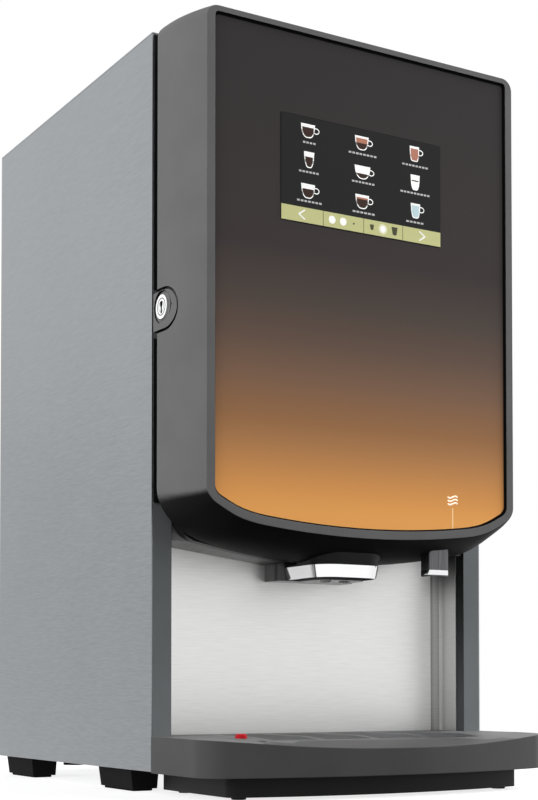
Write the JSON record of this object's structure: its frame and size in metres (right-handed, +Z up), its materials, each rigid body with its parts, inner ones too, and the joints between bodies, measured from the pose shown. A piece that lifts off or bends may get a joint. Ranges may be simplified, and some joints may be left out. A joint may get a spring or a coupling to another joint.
{
  "type": "instant drink dispenser",
  "caption": "Countertop instant coffee machine: steel cabinet, hinged door with display, powder canisters, mixing bowls, boiler and a pull-out drip tray.",
  "frame": {"origin": "middle of the machine's outline, on the table under the feet", "axes": "+X to the right seen from the front, +Y to the back, +Z up; the door faces -Y"},
  "size_m": [0.32, 0.445, 0.596],
  "materials": {
    "steel_side": "brushed along Y",
    "steel_bright": "fine brushed",
    "steel_inner": "plain sheet",
    "column_grey": "satin",
    "door_grey": "fine texture",
    "black_plastic": "satin",
    "liner_plastic": "satin",
    "window": "gloss, printed fade from dark brown to amber",
    "display": "gloss",
    "chrome": "polished",
    "steel_part": "satin",
    "tray_plastic": "satin",
    "basin_plastic": "satin",
    "grid_steel": "satin",
    "float_red": "satin",
    "rubber": "matt",
    "clear_plastic": "translucent",
    "white_plastic": "satin",
    "silicone": "translucent silicone",
    "motor_metal": "satin",
    "circuit": "satin",
    "iron": "dipped",
    "brass": "plain"
  },
  "bodies": {
    "chassis": {"base_plate": "steel_inner", "left_side_panel": "steel_side", "right_side_panel": "steel_side", "back_panel": "steel_side", "top_cover": "steel_side", "left_column": "column_grey", "right_column": "column_grey", "splash_panel": "steel_bright", "mounting_wall": "steel_inner", "canister_shelf": "steel_inner", "feet": "rubber", "drain_plug": "black_plastic", "hinge_brackets": "steel_part", "lock_housing": "door_grey", "cover_screws": "steel_part", "nozzle_block": "black_plastic", "mixer_hoses": "silicone", "hot_water_tube": "steel_part", "left_canister": "clear_plastic", "right_canister": "clear_plastic", "canister_lids": "black_plastic", "left_mixing_bowl": "clear_plastic", "right_mixing_bowl": "clear_plastic", "auger_motors": "motor_metal", "mixer_motors": "motor_metal", "steam_duct": "black_plastic", "fan_housing": "black_plastic", "boiler_tank": "steel_inner", "boiler_lid": "steel_part", "boiler_heater": "steel_part", "boiler_bracket": "steel_inner", "outlet_valves": "white_plastic", "inlet_valve": "brass", "water_hoses": "silicone", "power_board": "circuit", "transformer": "iron", "power_inlet": "black_plastic"},
    "door": {"door_shell": "door_grey", "front_window": "window", "display_module": "display", "door_liner": "liner_plastic", "outlet_cowl": "black_plastic", "chrome_trim": "chrome", "door_catch": "steel_part"},
    "lock": {"lock_barrel": "chrome"},
    "tray": {"tray_rim": "tray_plastic", "drip_basin": "basin_plastic"},
    "grid": {"drip_grid": "grid_steel"},
    "float": {"float": "float_red"},
    "left_auger": {"left_auger": "white_plastic"},
    "right_auger": {"right_auger": "white_plastic"},
    "left_impeller": {"left_impeller": "white_plastic"},
    "right_impeller": {"right_impeller": "white_plastic"},
    "fan": {"fan_rotor": "black_plastic"},
    "left_elbow": {"left_outlet_elbow": "black_plastic"},
    "right_elbow": {"right_outlet_elbow": "black_plastic"},
    "left_ring": {"left_locking_ring": "black_plastic"},
    "right_ring": {"right_locking_ring": "black_plastic"},
    "rocker": {"power_rocker": "black_plastic"}
  },
  "joints": [
    {"name": "door_swing", "type": "hinge", "parent": "chassis", "child": "door", "pos_m": [0.15, -0.1195, 0.4], "axis": [0, 0, 1], "range_deg": [0, 105]},
    {"name": "lock_turn", "type": "hinge", "parent": "chassis", "child": "lock", "pos_m": [-0.15, -0.1225, 0.3748], "axis": [-1, 0, 0], "range_deg": [0, 90]},
    {"name": "tray_slide", "type": "slide", "parent": "chassis", "child": "tray", "axis": [0, -1, 0], "range_m": [0, 0.15]},
    {"name": "grid_lift", "type": "slide", "parent": "tray", "child": "grid", "axis": [0, 0, 1], "range_m": [0, 0.04]},
    {"name": "float_rise", "type": "slide", "parent": "tray", "child": "float", "axis": [0, 0, 1], "range_m": [0, 0.008]},
    {"name": "fan_spin", "type": "hinge", "parent": "chassis", "child": "fan", "pos_m": [0, -0.0165, 0.311], "axis": [0, 1, 0], "continuous": true},
    {"name": "rocker_tip", "type": "hinge", "parent": "chassis", "child": "rocker", "pos_m": [0.062, 0.215, 0.07], "axis": [1, 0, 0], "range_deg": [0, 14]},
    {"name": "left_auger_turn", "type": "hinge", "parent": "chassis", "child": "left_auger", "pos_m": [-0.068, -0.0065, 0.373], "axis": [0, 1, 0], "continuous": true},
    {"name": "left_impeller_spin", "type": "hinge", "parent": "chassis", "child": "left_impeller", "pos_m": [-0.068, -0.0565, 0.256], "axis": [0, 1, 0], "continuous": true},
    {"name": "left_elbow_turn", "type": "hinge", "parent": "chassis", "child": "left_elbow", "pos_m": [-0.068, -0.0965, 0.373], "axis": [0, 1, 0], "range_deg": [0, 90]},
    {"name": "left_ring_turn", "type": "hinge", "parent": "chassis", "child": "left_ring", "pos_m": [-0.068, -0.0385, 0.256], "axis": [0, 1, 0], "range_deg": [0, 45]},
    {"name": "right_auger_turn", "type": "hinge", "parent": "chassis", "child": "right_auger", "pos_m": [0.068, -0.0065, 0.373], "axis": [0, 1, 0], "continuous": true},
    {"name": "right_impeller_spin", "type": "hinge", "parent": "chassis", "child": "right_impeller", "pos_m": [0.068, -0.0565, 0.256], "axis": [0, 1, 0], "continuous": true},
    {"name": "right_elbow_turn", "type": "hinge", "parent": "chassis", "child": "right_elbow", "pos_m": [0.068, -0.0965, 0.373], "axis": [0, -1, 0], "range_deg": [0, 90]},
    {"name": "right_ring_turn", "type": "hinge", "parent": "chassis", "child": "right_ring", "pos_m": [0.068, -0.0385, 0.256], "axis": [0, 1, 0], "range_deg": [0, 45]}
  ]
}
